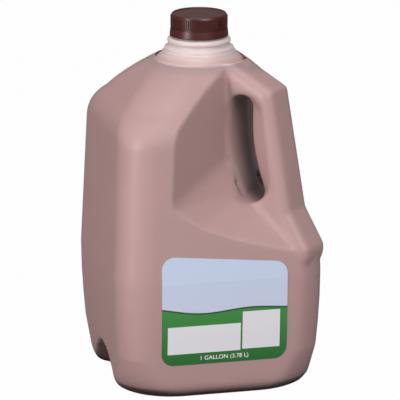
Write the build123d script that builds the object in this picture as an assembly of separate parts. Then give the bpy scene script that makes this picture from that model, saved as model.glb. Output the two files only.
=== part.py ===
from build123d import *
import math
import os

# One-gallon dairy jug, blow-moulded from HDPE, filled, capped and labelled.
# Millimetres, +Z up. The origin is the middle of the base on the neck's axis.
# The square body stands corner-on: its handle corner points to +X, and the
# mould's parting plane is Y = 0, so the jug is the same on both sides of it.

# --- body: rounded squares stacked up Z --------------------------------------
base_half = 60.0          # half the flat-to-flat width where the base meets the table
foot_half = 69.6          # the same, just above the rounded bottom edge
belly_half = 74.0         # the widest level
top_half = 70.0           # where the shoulder starts to curve in
foot_z = 8.0
belly_z = 85.0
shoulder_z = 180.0
shoulder_r = 28.0         # radius of the bend from the wall into the shoulder
shoulder_turn = 49.0      # degrees that this bend turns through
shoulder_crown = 2.5      # how far the sloping shoulder bulges past straight
base_corner_r = 38.0
foot_corner_r = 22.0
foot_corner_z = 30.0      # the corners are back to foot_corner_r at this height
top_corner_r = 24.0
cone_corner_r = 31.0
wall = 0.9                # thickness of the blown wall
pushup_r = 38.0           # the base is dished inside this radius
pushup_height = 4.0
heel_r = 36.0             # ball that dents the bottom of the two faces away from the handle
heel_out = 84.0           # its centre, out along the face's normal
heel_drop = 8.0           # its centre, below the table

# --- neck finish and cap -----------------------------------------------------
neck_z = 232.0            # the shoulder ends here
neck_base_r = 25.5
collar_r = 24.2
groove_r = 21.3
bead_r = 22.1
finish_r = 17.8           # the threaded part inside the cap
mouth_r = 16.2
cap_bottom_z = 243.8
cap_height = 15.4
cap_r = 20.0
cap_top_r = 18.8
cap_flare = 0.5           # the tamper band's lower edge is this much wider
cap_band_h = 5.4
cap_groove_h = 1.2
cap_knurl_h = 7.2
cap_top_t = 1.8
cap_fit = 0.4             # clearance from the finish to the cap's skirt
knurl_count = 84
knurl_depth = 0.45

# --- handle corner -----------------------------------------------------------
grip_half = 15.0          # half the handle's width across the parting plane
grip_round = 7.5          # radius along its outer edges
scoop_x = 32.5            # the body's wall behind the handle, at the parting plane
scoop_lean = 0.10         # that wall runs back toward the side corners by this slope
sill_fall = 0.35          # the sill under the handle falls outward by this slope
scoop_round = 18.0        # bend from the wall into the sill
slot_w = 15.5             # the finger gap, straight through
slot_top = (40.9, 200.0)
slot_mid = (42.3, 169.0)
slot_bottom = (51.0, 140.5)
funnel_w = 31.0           # the gap's mouth on each side of the handle
funnel_top = (46.3, 193.0)
funnel_mid = (48.8, 171.0)
funnel_bottom = (51.5, 149.5)
funnel_depth = 5.0

# --- filling and label -------------------------------------------------------
fill_z = 220.0
label_w = 89.4
label_bottom = 26.0
label_left = 79.6         # height at the side away from the handle
label_right = 70.6        # height at the handle's side
label_corner = 9.0
label_t = 0.25


def lerp(a, b, t):
    return a + (b - a) * t


def sections(inset):
    """Heights, half widths and corner radii of the stacked rounded squares."""
    rows = []
    steps = 5
    for i in range(steps + 1):
        t = i / steps
        rows.append((foot_z * (1 - math.sqrt(1 - t * t)), lerp(base_half, foot_half, t)))
    for z in (18.0, 30.0, 48.0, 66.0):
        rows.append((z, lerp(foot_half, belly_half, math.sin(math.pi / 2 * (z - foot_z) / (belly_z - foot_z)))))
    for z in (belly_z, 115.0, 148.0, shoulder_z):
        rows.append((z, lerp(belly_half, top_half, (z - belly_z) / (shoulder_z - belly_z))))
    for i in range(1, 6):
        turn = math.radians(shoulder_turn * i / 5)
        rows.append((shoulder_z + shoulder_r * math.sin(turn), top_half - shoulder_r * (1 - math.cos(turn))))
    bend_z, bend_half = rows[-1]
    for i in range(1, 6):
        t = i / 5
        rows.append((lerp(bend_z, neck_z, t),
                     lerp(bend_half, neck_base_r, t) + shoulder_crown * 4 * t * (1 - t)))
    out = []
    for z, half in rows:
        if z < foot_corner_z:
            corner = lerp(base_corner_r, foot_corner_r, z / foot_corner_z)
        elif z < shoulder_z:
            corner = lerp(foot_corner_r, top_corner_r, (z - foot_corner_z) / (shoulder_z - foot_corner_z))
        elif z < bend_z:
            corner = lerp(top_corner_r, cone_corner_r, (z - shoulder_z) / (bend_z - shoulder_z))
        else:
            corner = lerp(cone_corner_r, neck_base_r, (z - bend_z) / (neck_z - bend_z))
        steep = 1.0 if z < shoulder_z else 1.35
        lift = inset * max(0.0, 1 - z / foot_z)
        half_in = half - inset * steep
        out.append((z + lift, half_in, min(corner - inset * steep, half_in - 0.01)))
    return out


def envelope(inset):
    """The square body with all four corners, up to the foot of the neck."""
    faces = []
    for z, half, corner in sections(inset):
        with BuildSketch(Plane.XY.offset(z)) as s:
            RectangleRounded(2 * half, 2 * half, corner, rotation=45)
        faces.append(s.sketch.faces()[0])
    return Solid.make_loft([f.outer_wire() for f in faces], ruled=True)


def scoop(inset):
    """What is cut away on both sides of the handle, down to the sloping sill."""
    with BuildSketch(Plane.XZ) as s:
        Polygon((scoop_x, 270), (scoop_x, 165), (46.4, 145.5), (59.7, 132.5), (86.9, 111.0),
                (125, 84), (125, 270), align=None)
        bends = s.vertices().filter_by(lambda v: 30 < v.X < 50 and v.Z < 170)
        fillet(bends, scoop_round)
        if inset:
            offset(amount=inset, kind=Kind.INTERSECTION)
    near = extrude(s.sketch, amount=95, dir=(-scoop_lean, -1, -sill_fall))
    far = near.mirror(Plane.XZ)
    return near.fuse(far)


def grip(inset):
    """The slab that becomes the handle, its top bridge and its root."""
    with BuildSketch(Plane.XZ) as s:
        Polygon((24, 140), (24, 231), (29.5, 231.0), (65.3, 212.5), (80.6, 128.5),
                (95.4, 104.0), (96.0, 88.0), (60, 84), align=None)
        fillet(s.vertices().sort_by_distance((65.3, 0, 212.5))[0], 13)
        fillet(s.vertices().sort_by_distance((80.6, 0, 128.5))[0], 22)
        fillet(s.vertices().sort_by_distance((95.4, 0, 104.0))[0], 14)
        if inset:
            offset(amount=-inset, kind=Kind.INTERSECTION)
    slab = extrude(s.sketch, amount=grip_half - inset, both=True)
    side = grip_half - inset
    edges = slab.edges().filter_by(
        lambda e: abs(abs(e.center().Y) - side) < 0.01 and (e.center().Z > 214 or e.center().X > 62)
        and e.center().Z < 230 and e.center().Z > 90)
    return fillet(edges, grip_round - inset)


def gap(inset):
    """The finger gap: straight through the middle, flared toward both sides."""
    with BuildSketch(Plane.XZ) as s:
        with BuildLine():
            line = ThreePointArc(slot_top, slot_mid, slot_bottom)
        SlotArc(line, slot_w + 2 * inset)
    through = extrude(s.sketch, amount=45, both=True)
    wires = []
    for width, points, y in ((funnel_w, (funnel_top, funnel_mid, funnel_bottom), grip_half + 0.4),
                             (slot_w, (slot_top, slot_mid, slot_bottom), grip_half - funnel_depth)):
        with BuildSketch(Plane.XZ.offset(y)) as s:
            with BuildLine():
                line = ThreePointArc(*points)
            SlotArc(line, width + 2 * inset)
        wires.append(s.sketch.faces()[0].outer_wire())
    near = Solid.make_loft(wires, ruled=True)
    return through.fuse(near, near.mirror(Plane.XZ))


def base_dents(inset):
    """The dished base and the dents at the bottom of the two rear faces."""
    dish_r = (pushup_r ** 2 + pushup_height ** 2) / (2 * pushup_height)
    dents = [Pos(0, 0, pushup_height - dish_r) * Sphere(dish_r + inset)]
    for azimuth in (135, 225):
        turn = math.radians(azimuth)
        dents.append(Pos(heel_out * math.cos(turn), heel_out * math.sin(turn), -heel_drop)
                     * Sphere(heel_r + inset))
    return dents


def jug_form(inset):
    """The jug below its neck, as a solid, with every surface moved in by inset."""
    form = envelope(inset) - scoop(inset)
    form = form + grip(inset)
    form = form - gap(inset)
    for dent in base_dents(inset):
        form = form - dent
    return form


def revolved(points):
    with BuildSketch(Plane.XZ) as s:
        Polygon(*points, align=None)
    return revolve(s.sketch, Axis.Z)


def neck_form():
    """Base ring, collar, groove, bead and the finish that the cap screws on."""
    rim_z = cap_bottom_z + cap_height - cap_top_t
    return revolved([(0, neck_z - 4), (neck_base_r + 2.6, neck_z - 3), (neck_base_r, neck_z + 0.6),
                     (neck_base_r - 0.3, neck_z + 1.4), (collar_r, neck_z + 1.8), (collar_r, neck_z + 3.4),
                     (groove_r, neck_z + 5.0), (groove_r, neck_z + 6.6), (bead_r, neck_z + 7.4),
                     (bead_r, neck_z + 9.4), (bead_r - 1.4, neck_z + 10.4), (finish_r, neck_z + 10.6),
                     (finish_r, rim_z), (0, rim_z)])


def neck_bore():
    """The way through the neck, opening into the shoulder."""
    rim_z = cap_bottom_z + cap_height - cap_top_t
    return revolved([(0, neck_z - 9), (neck_base_r + 4, neck_z - 6), (neck_base_r - wall * 1.4, neck_z - 0.6),
                     (groove_r - 1.6, neck_z + 2.6), (groove_r - 1.6, neck_z + 8.6), (mouth_r, neck_z + 10.6),
                     (mouth_r, rim_z + 5), (0, rim_z + 5)])


def make_cap():
    """Snap-screw cap: tamper band, knurled grip and a flat top with a raised rim."""
    band_top = cap_bottom_z + cap_band_h
    knurl_bottom = band_top + cap_groove_h
    knurl_top = knurl_bottom + cap_knurl_h
    top = cap_bottom_z + cap_height
    body = revolved([(0, cap_bottom_z), (cap_r + cap_flare, cap_bottom_z), (cap_r + cap_flare, cap_bottom_z + 1),
                     (cap_r, band_top), (cap_r - 0.7, band_top + 0.1), (cap_r - 0.7, knurl_bottom - 0.1),
                     (cap_r - knurl_depth, knurl_bottom), (cap_r - knurl_depth, knurl_top),
                     (cap_top_r + 0.3, top - 0.4), (cap_top_r, top), (cap_top_r - 0.9, top),
                     (cap_top_r - 1.3, top - 0.5), (0, top - 0.5)])
    rim = []
    for i in range(knurl_count):
        for share, radius in ((-0.28, cap_r - knurl_depth), (-0.14, cap_r), (0.14, cap_r),
                              (0.28, cap_r - knurl_depth)):
            turn = 2 * math.pi * (i + share) / knurl_count
            rim.append((radius * math.cos(turn), radius * math.sin(turn)))
    with BuildSketch(Plane.XY.offset(knurl_bottom)) as s:
        Polygon(*rim, align=None)
    ribs = extrude(s.sketch, amount=cap_knurl_h)
    inside_h = cap_height - cap_top_t
    hollow = Pos(0, 0, cap_bottom_z) * Cylinder(finish_r + cap_fit, inside_h,
                                                align=(Align.CENTER, Align.CENTER, Align.MIN))
    return body + ribs - hollow


def face_half(z):
    """Half width of the body at a height between the foot and the belly."""
    rows = sections(0)
    for (z0, h0, _), (z1, h1, _) in zip(rows, rows[1:]):
        if z0 <= z <= z1:
            return lerp(h0, h1, (z - z0) / (z1 - z0))
    return rows[-1][1]


def make_label(form):
    """A thin plate on the face turned to +X and -Y, cut out of a grown skin of the body."""
    face = Plane(origin=(0, 0, 0), x_dir=(1, 1, 0), z_dir=(1, -1, 0))
    with BuildSketch(face.offset(face_half(label_bottom) - 4)) as s:
        Polygon((-label_w / 2, label_bottom), (label_w / 2, label_bottom),
                (label_w / 2, label_bottom + label_right), (-label_w / 2, label_bottom + label_left), align=None)
        fillet(s.vertices(), label_corner)
    block = extrude(s.sketch, amount=12)
    return (block & envelope(-label_t)) - envelope(0)


outer = jug_form(0) + neck_form()
inner = jug_form(wall)
bottle = outer - inner - neck_bore()
milk = inner & (Pos(0, 0, 0) * Box(300, 300, fill_z, align=(Align.CENTER, Align.CENTER, Align.MIN)))
cap = make_cap()
label = make_label(outer)

for name, shape in {"bottle": bottle, "milk": milk, "cap": cap, "label": label}.items():
    export_step(shape if isinstance(shape, Compound) else Compound([shape]), f"parts/{name}.step")
    print(name, round(shape.volume / 1000, 1), "cm3", len(shape.solids()), "solids")
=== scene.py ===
import math

import bmesh
import bpy
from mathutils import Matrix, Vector
from mathutils.bvhtree import BVHTree


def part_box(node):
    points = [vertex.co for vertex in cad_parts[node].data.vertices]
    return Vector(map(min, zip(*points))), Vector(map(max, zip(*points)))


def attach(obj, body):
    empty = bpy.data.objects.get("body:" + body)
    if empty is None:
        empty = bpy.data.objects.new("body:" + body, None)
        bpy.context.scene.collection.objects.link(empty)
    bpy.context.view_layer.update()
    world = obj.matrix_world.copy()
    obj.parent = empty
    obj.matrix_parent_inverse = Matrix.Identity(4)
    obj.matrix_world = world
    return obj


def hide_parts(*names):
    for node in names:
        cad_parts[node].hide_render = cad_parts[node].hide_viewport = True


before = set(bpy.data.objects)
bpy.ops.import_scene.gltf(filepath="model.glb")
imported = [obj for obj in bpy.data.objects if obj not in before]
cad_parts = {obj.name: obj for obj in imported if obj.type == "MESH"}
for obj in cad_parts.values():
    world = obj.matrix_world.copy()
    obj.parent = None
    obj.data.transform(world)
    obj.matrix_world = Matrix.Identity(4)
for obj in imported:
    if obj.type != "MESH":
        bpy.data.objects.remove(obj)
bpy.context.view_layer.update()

# --- Bottle ------------------------------------------------------------------
# The jug is one piece of natural polyethylene, blown against a square mould.
# Its outer skin is taken from the solid shell and its creases are softened, as
# blowing leaves them. It ends just under the neck, which is turned on its own.
MM = 0.001
NECK_FOOT = 231.0 * MM
SKIN_TOP = NECK_FOOT - 2.2 * MM
SKIN_GRAIN = 1.55 * MM
SOFTENING_PASSES = 6
SHADE_DISTANCE = 40 * MM
# Painted shade: the nearly black brown that the ambient-occlusion ramp paints where the skin is
# hemmed in.
PAINTED_SHADE_BROWN = (0.014, 0.004, 0.003)
MILKY_PINK = (0.80, 0.62, 0.61)


def cut_above(shape, height):
    """Cut a mesh level at a height and throw away what stands above it."""
    bmesh.ops.bisect_plane(shape, geom=shape.verts[:] + shape.edges[:] + shape.faces[:],
                           dist=1e-7, plane_co=(0, 0, height), plane_no=(0, 0, 1),
                           clear_outer=True)


def close_rims(shape):
    """Fill every open rim of a mesh."""
    bmesh.ops.holes_fill(shape, edges=[e for e in shape.edges if e.is_boundary])


def place_piece(name, mesh):
    """A new object for a mesh, linked to the scene at the origin."""
    piece = bpy.data.objects.new(name, mesh)
    bpy.context.scene.collection.objects.link(piece)
    return piece


def finished_mesh(piece):
    """The mesh of a piece with its modifiers applied."""
    return bpy.data.meshes.new_from_object(
        piece.evaluated_get(bpy.context.evaluated_depsgraph_get()))


cad_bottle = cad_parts["bottle"]
skin = bmesh.new()
skin.from_mesh(cad_bottle.data)
bmesh.ops.remove_doubles(skin, verts=skin.verts, dist=0.01 * MM)
rim_z = max(v.co.z for v in skin.verts)
# The outside is every face that joins on to the lowest one, as far as the rim.
reached = {min(skin.faces, key=lambda f: f.calc_center_median().z)}
front = list(reached)
while front:
    face = front.pop()
    for edge in face.edges:
        for other in edge.link_faces:
            on_rim = all(v.co.z > rim_z - 0.02 * MM for v in other.verts)
            if other not in reached and not on_rim:
                reached.add(other)
                front.append(other)
bmesh.ops.delete(skin, geom=[f for f in skin.faces if f not in reached], context="FACES")
cut_above(skin, NECK_FOOT)
close_rims(skin)
bmesh.ops.triangulate(skin, faces=skin.faces[:])
bottle_mesh = bpy.data.meshes.new("bottle_skin")
skin.to_mesh(bottle_mesh)
skin.free()
bottle = place_piece("bottle_skin", bottle_mesh)
remesh = bottle.modifiers.new("even", "REMESH")
remesh.mode = "VOXEL"
remesh.voxel_size = SKIN_GRAIN
soften = bottle.modifiers.new("soften", "SMOOTH")
soften.factor = 0.5
soften.iterations = SOFTENING_PASSES
smooth_mesh = finished_mesh(bottle)
bottle.modifiers.clear()
bottle.data = smooth_mesh
cut = bmesh.new()
cut.from_mesh(bottle.data)
cut_above(cut, SKIN_TOP)
for vertex in cut.verts:
    vertex.co.z = max(vertex.co.z, 0.0)
cut.to_mesh(bottle.data)
cut.free()
bottle.data.shade_smooth()


def new_finish(name):
    """A new material, with its nodes, its links and its shader."""
    finish = bpy.data.materials.new(name)
    finish.use_nodes = True
    tree = finish.node_tree
    return finish, tree.nodes, tree.links, tree.nodes["Principled BSDF"]


def noise(scale, detail=2.0):
    """Noise on the piece's own Object coordinates."""
    node = nodes.new("ShaderNodeTexNoise")
    node.inputs["Scale"].default_value = scale
    node.inputs["Detail"].default_value = detail
    links.new(place.outputs["Object"], node.inputs["Vector"])
    return node.outputs["Fac"]


def spread(value, span, result, interpolation="LINEAR"):
    """Value, running over span, is spread over result."""
    node = nodes.new("ShaderNodeMapRange")
    node.interpolation_type = interpolation
    node.inputs["From Min"].default_value, node.inputs["From Max"].default_value = span
    node.inputs["To Min"].default_value, node.inputs["To Max"].default_value = result
    links.new(value, node.inputs["Value"])
    return node.outputs["Result"]


def ramp(value, dark, light, span=(0.0, 1.0)):
    """A colour that goes from dark to light while value runs over span."""
    node = nodes.new("ShaderNodeValToRGB")
    for element, position, colour in zip(node.color_ramp.elements, span, (dark, light)):
        element.position = position
        element.color = (*colour, 1)
    links.new(value, node.inputs["Fac"])
    return node.outputs["Color"]


def math_node(operation, first, second=None, third=None):
    """One Math node; each argument is a number or a socket."""
    node = nodes.new("ShaderNodeMath")
    node.operation = operation
    for socket, value in zip(node.inputs, (first, second, third)):
        if isinstance(value, (int, float)):
            socket.default_value = value
        elif value is not None:
            links.new(value, socket)
    return node.outputs[0]


def piece_axes():
    """The X, Y and Z of the piece's own Object coordinates."""
    node = nodes.new("ShaderNodeSeparateXYZ")
    links.new(place.outputs["Object"], node.inputs["Vector"])
    return node.outputs


plastic, nodes, links, shader = new_finish("natural_plastic")
shader.inputs["IOR"].default_value = 1.5
place = nodes.new("ShaderNodeTexCoord")
grain = noise(900.0, detail=3.0)
waves = noise(45.0)
links.new(spread(waves, (0, 1), (0.30, 0.44)), shader.inputs["Roughness"])
# Painted shade: where ambient occlusion finds the skin hemmed in, deep in the finger gap and in the
# heel's dents, the plastic is painted a nearly black brown.
# It is also made less clear there and lets no milk show through, so that the painted shade stays
# dark.
hollow = nodes.new("ShaderNodeAmbientOcclusion")
hollow.inputs["Distance"].default_value = SHADE_DISTANCE
hollow.samples = 12
openness = hollow.outputs["AO"]
links.new(ramp(openness, PAINTED_SHADE_BROWN, MILKY_PINK, (0.35, 0.62)), shader.inputs["Base Color"])
links.new(spread(openness, (0.34, 0.58), (0.95, 0.38)), shader.inputs["Alpha"])
# The mould is stippled in a band beside the finger hollow on both sides of the jug.
axes = piece_axes()
toward_handle = math_node("SUBTRACT", axes["X"], math_node("ABSOLUTE", axes["Y"]))
beside = spread(toward_handle, (-76 * MM, -66 * MM), (0, 1), "SMOOTHSTEP")
over_foot = spread(axes["Z"], (126 * MM, 136 * MM), (0, 1), "SMOOTHSTEP")
under_top = spread(axes["Z"], (212 * MM, 200 * MM), (0, 1), "SMOOTHSTEP")
stipple = math_node("MULTIPLY", math_node("MULTIPLY", over_foot, under_top), beside)
bump = nodes.new("ShaderNodeBump")
bump.inputs["Distance"].default_value = 0.5 * MM
links.new(spread(stipple, (0, 1), (0.12, 0.75)), bump.inputs["Strength"])
links.new(grain, bump.inputs["Height"])
links.new(bump.outputs["Normal"], shader.inputs["Normal"])
bottle.data.materials.append(plastic)
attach(bottle, "root")

# --- Neck --------------------------------------------------------------------
# The same blown piece goes on as the neck: a base ring, a collar, a groove and
# a bead, then the plain finish that the cap covers. Its line, in millimetres of
# radius and height, is turned round the jug's axis, so that its rings stay crisp.
NECK_LINE = [(31.2, 226.8), (27.4, 230.4), (26.0, 231.6), (25.5, 232.4), (25.4, 233.0),
             (24.6, 233.6), (24.2, 234.0), (24.3, 234.8), (24.1, 235.5), (22.4, 236.3),
             (21.4, 237.0), (21.3, 238.2), (21.5, 238.9), (22.0, 239.4), (22.2, 240.2),
             (22.1, 241.0), (21.6, 241.8), (20.6, 242.4), (18.4, 242.7), (17.8, 243.2),
             (17.8, 257.2), (16.2, 257.2)]
NECK_SIDES = 96
NECK_ALPHA = 0.80
COLLAR_HEIGHT = 235 * MM
NECK_FOOT_PINK = (0.56, 0.36, 0.35)
NECK_PALE = (0.73, 0.61, 0.60)

neck_shape = bmesh.new()
turns = [2 * math.pi * i / NECK_SIDES for i in range(NECK_SIDES)]
rings = []
for radius, height in NECK_LINE:
    rings.append([neck_shape.verts.new((radius * MM * math.cos(turn), radius * MM * math.sin(turn),
                                        height * MM)) for turn in turns])
for lower, upper in zip(rings, rings[1:]):
    for i in range(NECK_SIDES):
        j = (i + 1) % NECK_SIDES
        neck_shape.faces.new((lower[i], lower[j], upper[j], upper[i]))
neck_mesh = bpy.data.meshes.new("neck")
neck_shape.to_mesh(neck_mesh)
neck_shape.free()
neck_mesh.shade_smooth()
neck = place_piece("neck", neck_mesh)

neck_plastic = plastic.copy()
neck_plastic.name = "natural_plastic_neck"
nodes, links = neck_plastic.node_tree.nodes, neck_plastic.node_tree.links
neck_alpha = nodes["Principled BSDF"].inputs["Alpha"]
neck_colour = nodes["Principled BSDF"].inputs["Base Color"]
links.remove(neck_alpha.links[0])
links.remove(neck_colour.links[0])
neck_alpha.default_value = NECK_ALPHA
# The empty neck is paler than the shoulder, and the tint fades in below the collar.
place = nodes.new("ShaderNodeTexCoord")
fade = spread(piece_axes()["Z"], (NECK_LINE[0][1] * MM, COLLAR_HEIGHT), (0, 1))
links.new(ramp(fade, NECK_FOOT_PINK, NECK_PALE), neck_colour)
neck.data.materials.append(neck_plastic)
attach(neck, "root")
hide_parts("bottle")
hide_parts("bottle")

# --- Milk --------------------------------------------------------------------
# Brown milk fills the jug and its hollow handle up to the shoulder. It lies
# just inside the skin, so that no air shows between the milk and the wall.
MILK_INSET = 0.35 * MM
MILK_DARK = (0.42, 0.113, 0.100)
MILK_LIGHT = (0.48, 0.135, 0.120)

milk_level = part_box("milk")[1][2]
milk_shape = bmesh.new()
milk_shape.from_mesh(bottle.data)
bmesh.ops.recalc_face_normals(milk_shape, faces=milk_shape.faces[:])
milk_shape.normal_update()
for vertex in milk_shape.verts:
    vertex.co -= vertex.normal * MILK_INSET
cut_above(milk_shape, milk_level)
close_rims(milk_shape)
milk_mesh = bpy.data.meshes.new("milk_body")
milk_shape.to_mesh(milk_mesh)
milk_shape.free()
milk_mesh.shade_smooth()
milk = place_piece("milk_body", milk_mesh)
brown, nodes, links, shader = new_finish("brown_milk")
shader.inputs["Roughness"].default_value = 0.5
place = nodes.new("ShaderNodeTexCoord")
links.new(ramp(noise(14.0), MILK_DARK, MILK_LIGHT, (0.3, 0.7)), shader.inputs["Base Color"])
milk.data.materials.append(brown)
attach(milk, "root")
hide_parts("milk")

# --- Cap ---------------------------------------------------------------------
# A moulded screw cap of dark brown polyethylene: a smooth tamper band under a
# knurled grip, and a flat top inside a low rim. The solid has its true form.
CAP_DARK = (0.046, 0.006, 0.005)
CAP_LIGHT = (0.070, 0.011, 0.009)

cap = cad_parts["cap"]
cap_plastic, nodes, links, shader = new_finish("brown_plastic")
place = nodes.new("ShaderNodeTexCoord")
flow = noise(160.0)
links.new(ramp(flow, CAP_DARK, CAP_LIGHT), shader.inputs["Base Color"])
links.new(spread(flow, (0, 1), (0.30, 0.42)), shader.inputs["Roughness"])
cap.data.materials.clear()
cap.data.materials.append(cap_plastic)

# --- Label -------------------------------------------------------------------
# A printed film on the face turned to +X and -Y: pale sky over green hills,
# with two white panels. All of the print is worked out from the face's own
# across and up directions, in millimetres. It carries no name and no picture.
HILL_HEIGHT = 65.5
HILL_EDGE = 1.2
SKY_FOOT, SKY_SPAN = 62.0, 42.0
GRASS_FOOT, GRASS_SPAN = 26.0, 40.0
SKY_LOW, SKY_HIGH = (0.54, 0.57, 0.72, 1), (0.48, 0.58, 0.74, 1)
GRASS_LOW, GRASS_HIGH = (0.012, 0.13, 0.022, 1), (0.045, 0.24, 0.05, 1)
HILL_EDGE_GREEN = (0.010, 0.085, 0.020, 1)
PANEL_WHITE = (0.70, 0.69, 0.73, 1)
# Each panel's left, right, low and high edge.
PANELS = ((-40.5, 11.5, 34.3, 54.4), (12.8, 39.6, 35.0, 62.5))

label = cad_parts["label"]
ink, nodes, links, shader = new_finish("printed_film")
shader.inputs["Roughness"].default_value = 0.38
place = nodes.new("ShaderNodeTexCoord")
axes = piece_axes()


def layer(under, over, mask):
    """The colour over laid on the colour under where mask is 1."""
    node = nodes.new("ShaderNodeMix")
    node.data_type = "RGBA"
    links.new(mask, node.inputs["Factor"])
    for socket, value in ((node.inputs["A"], under), (node.inputs["B"], over)):
        if isinstance(value, tuple):
            socket.default_value = value
        else:
            links.new(value, socket)
    return node.outputs["Result"]


def inside(value, low, high):
    """1 where value lies between low and high."""
    return math_node("MULTIPLY", math_node("GREATER_THAN", value, low),
                     math_node("LESS_THAN", value, high))


def share(value, foot, span):
    """How far value has gone from foot along span, as a share of it."""
    return math_node("DIVIDE", math_node("SUBTRACT", value, foot), span)


across = math_node("MULTIPLY", math_node("ADD", axes["X"], axes["Y"]), math.sqrt(0.5) / MM)
height = math_node("DIVIDE", axes["Z"], MM)
# Two slow waves make the line of the hills.
swell = math_node("MULTIPLY", math_node("SINE", math_node("MULTIPLY", across, 0.085)), 1.6)
rise = math_node("MULTIPLY", math_node("SINE", math_node("MULTIPLY_ADD", across, 0.031, 1.2)), -2.4)
hill_line = math_node("ADD", math_node("ADD", swell, rise), HILL_HEIGHT)
sky = layer(SKY_LOW, SKY_HIGH, share(height, SKY_FOOT, SKY_SPAN))
grass = layer(GRASS_LOW, GRASS_HIGH, share(height, GRASS_FOOT, GRASS_SPAN))
far_line = math_node("ADD", hill_line, HILL_EDGE)
print_colour = layer(sky, HILL_EDGE_GREEN, math_node("LESS_THAN", height, far_line))
print_colour = layer(print_colour, grass, math_node("LESS_THAN", height, hill_line))
for left, right, low, high in PANELS:
    panel = math_node("MULTIPLY", inside(across, left, right), inside(height, low, high))
    print_colour = layer(print_colour, PANEL_WHITE, panel)
links.new(print_colour, shader.inputs["Base Color"])
label.data.materials.clear()
label.data.materials.append(ink)

# --- Volume ------------------------------------------------------------------
# The volume is printed in white on the green under the panels. The letters are
# laid on the film along the face's normal, a hair proud of it.
LETTER_SIZE = 4.3 * MM
LETTER_DEPTH = 0.02 * MM
LETTER_LIFT = 0.04 * MM
VOLUME_HEIGHT = 29.0 * MM
INK_WHITE = (0.85, 0.87, 0.86, 1)

words = bpy.data.curves.new("volume_text", "FONT")
words.body = "1 GALLON (3.78 L)"
words.size = LETTER_SIZE
words.align_x = "CENTER"
words.extrude = LETTER_DEPTH
words_object = place_piece("volume_text", words)
text_mesh = finished_mesh(words_object)
bpy.data.objects.remove(words_object)
label_tree = BVHTree.FromPolygons([v.co for v in label.data.vertices],
                                  [p.vertices for p in label.data.polygons])
outward = Vector((1, -1, 0)).normalized()
along = Vector((1, 1, 0)).normalized()
for vertex in text_mesh.vertices:
    x, y, lift = vertex.co
    start = outward * 0.2 + along * x + Vector((0, 0, VOLUME_HEIGHT + y))
    hit = label_tree.ray_cast(start, -outward)[0]
    vertex.co = hit + outward * (lift + LETTER_LIFT)
text = place_piece("volume_text", text_mesh)
white_ink, nodes, links, shader = new_finish("white_ink")
shader.inputs["Base Color"].default_value = INK_WHITE
shader.inputs["Roughness"].default_value = 0.4
text.data.materials.clear()
text.data.materials.append(white_ink)
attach(text, "root")

# --- Studio ------------------------------------------------------------------
# A floor that looks white but gives back little light, a soft key from the
# right, a tall strip on the left of the camera for the corner's highlight, a
# wide lamp overhead, and a world that is white to the eye and dim as a light.
FLOOR_REACH = 6
FLOOR_GREY = (0.30, 0.28, 0.28, 1)
FLOOR_GLOW = 0.985
WORLD_LIGHT = 0.27
JUG_MIDDLE = Vector((0, 0, 0.13))

floor_mesh = bpy.data.meshes.new("floor")
floor_mesh.from_pydata([(-FLOOR_REACH, -FLOOR_REACH, 0), (FLOOR_REACH, -FLOOR_REACH, 0),
                        (FLOOR_REACH, FLOOR_REACH, 0), (-FLOOR_REACH, FLOOR_REACH, 0)],
                       [], [(0, 1, 2, 3)])
floor = place_piece("floor", floor_mesh)
pale, nodes, links, shader = new_finish("pale_floor")
shader.inputs["Base Color"].default_value = FLOOR_GREY
shader.inputs["Roughness"].default_value = 0.9
glow = nodes.new("ShaderNodeEmission")
ray = nodes.new("ShaderNodeLightPath")
blend = nodes.new("ShaderNodeMixShader")
links.new(math_node("MULTIPLY", ray.outputs["Is Camera Ray"], FLOOR_GLOW), blend.inputs[0])
links.new(shader.outputs[0], blend.inputs[1])
links.new(glow.outputs[0], blend.inputs[2])
links.new(blend.outputs[0], nodes["Material Output"].inputs["Surface"])
floor.data.materials.append(pale)

world = bpy.data.worlds.new("studio")
bpy.context.scene.world = world
world.use_nodes = True
nodes, links = world.node_tree.nodes, world.node_tree.links
ray = nodes.new("ShaderNodeLightPath")
ambient = nodes.new("ShaderNodeBackground")
ambient.inputs["Color"].default_value = (1, 1, 1, 1)
ambient.inputs["Strength"].default_value = WORLD_LIGHT
white = nodes.new("ShaderNodeBackground")
white.inputs["Color"].default_value = (1, 1, 1, 1)
pick = nodes.new("ShaderNodeMixShader")
links.new(ray.outputs["Is Camera Ray"], pick.inputs[0])
links.new(ambient.outputs[0], pick.inputs[1])
links.new(white.outputs[0], pick.inputs[2])
links.new(pick.outputs[0], nodes["World Output"].inputs["Surface"])


def bearing(turn, tilt):
    """The way out from the jug; turn 0 is toward -Y and 90 toward +X, in degrees."""
    turn, tilt = math.radians(turn), math.radians(tilt)
    return Vector((math.sin(turn) * math.cos(tilt), -math.cos(turn) * math.cos(tilt),
                   math.sin(tilt)))


def aim(holder, way, distance):
    """Stand a lamp or the camera out along way, looking back at the jug's middle."""
    holder.location = JUG_MIDDLE + way * distance
    holder.rotation_euler = (-way).to_track_quat("-Z", "Y").to_euler()


def add_light(name, turn, tilt, distance, width, tall, power):
    """A rectangular lamp aimed at the jug's middle."""
    lamp = bpy.data.lights.new(name, "AREA")
    lamp.shape = "RECTANGLE"
    lamp.size, lamp.size_y, lamp.energy = width, tall, power
    aim(place_piece(name, lamp), bearing(turn, tilt), distance)


add_light("key", 58, 32, 1.6, 0.8, 0.9, 13)
add_light("strip", -17, 12, 1.3, 0.10, 0.9, 10)
add_light("top", 20, 76, 1.5, 0.9, 0.9, 9)

# --- Camera ------------------------------------------------------------------
# A long lens, a little above the jug and turned toward the label's face.
CAMERA_REACH = 2.5

lens = bpy.data.cameras.new("camera")
lens.lens = 318.7
lens.sensor_width = 36.0
lens.shift_x = 0.0025
lens.shift_y = -0.021
camera = place_piece("camera", lens)
aim(camera, bearing(30.9, 15.2), CAMERA_REACH)
bpy.context.scene.camera = camera
bpy.context.scene.view_settings.view_transform = "Standard"
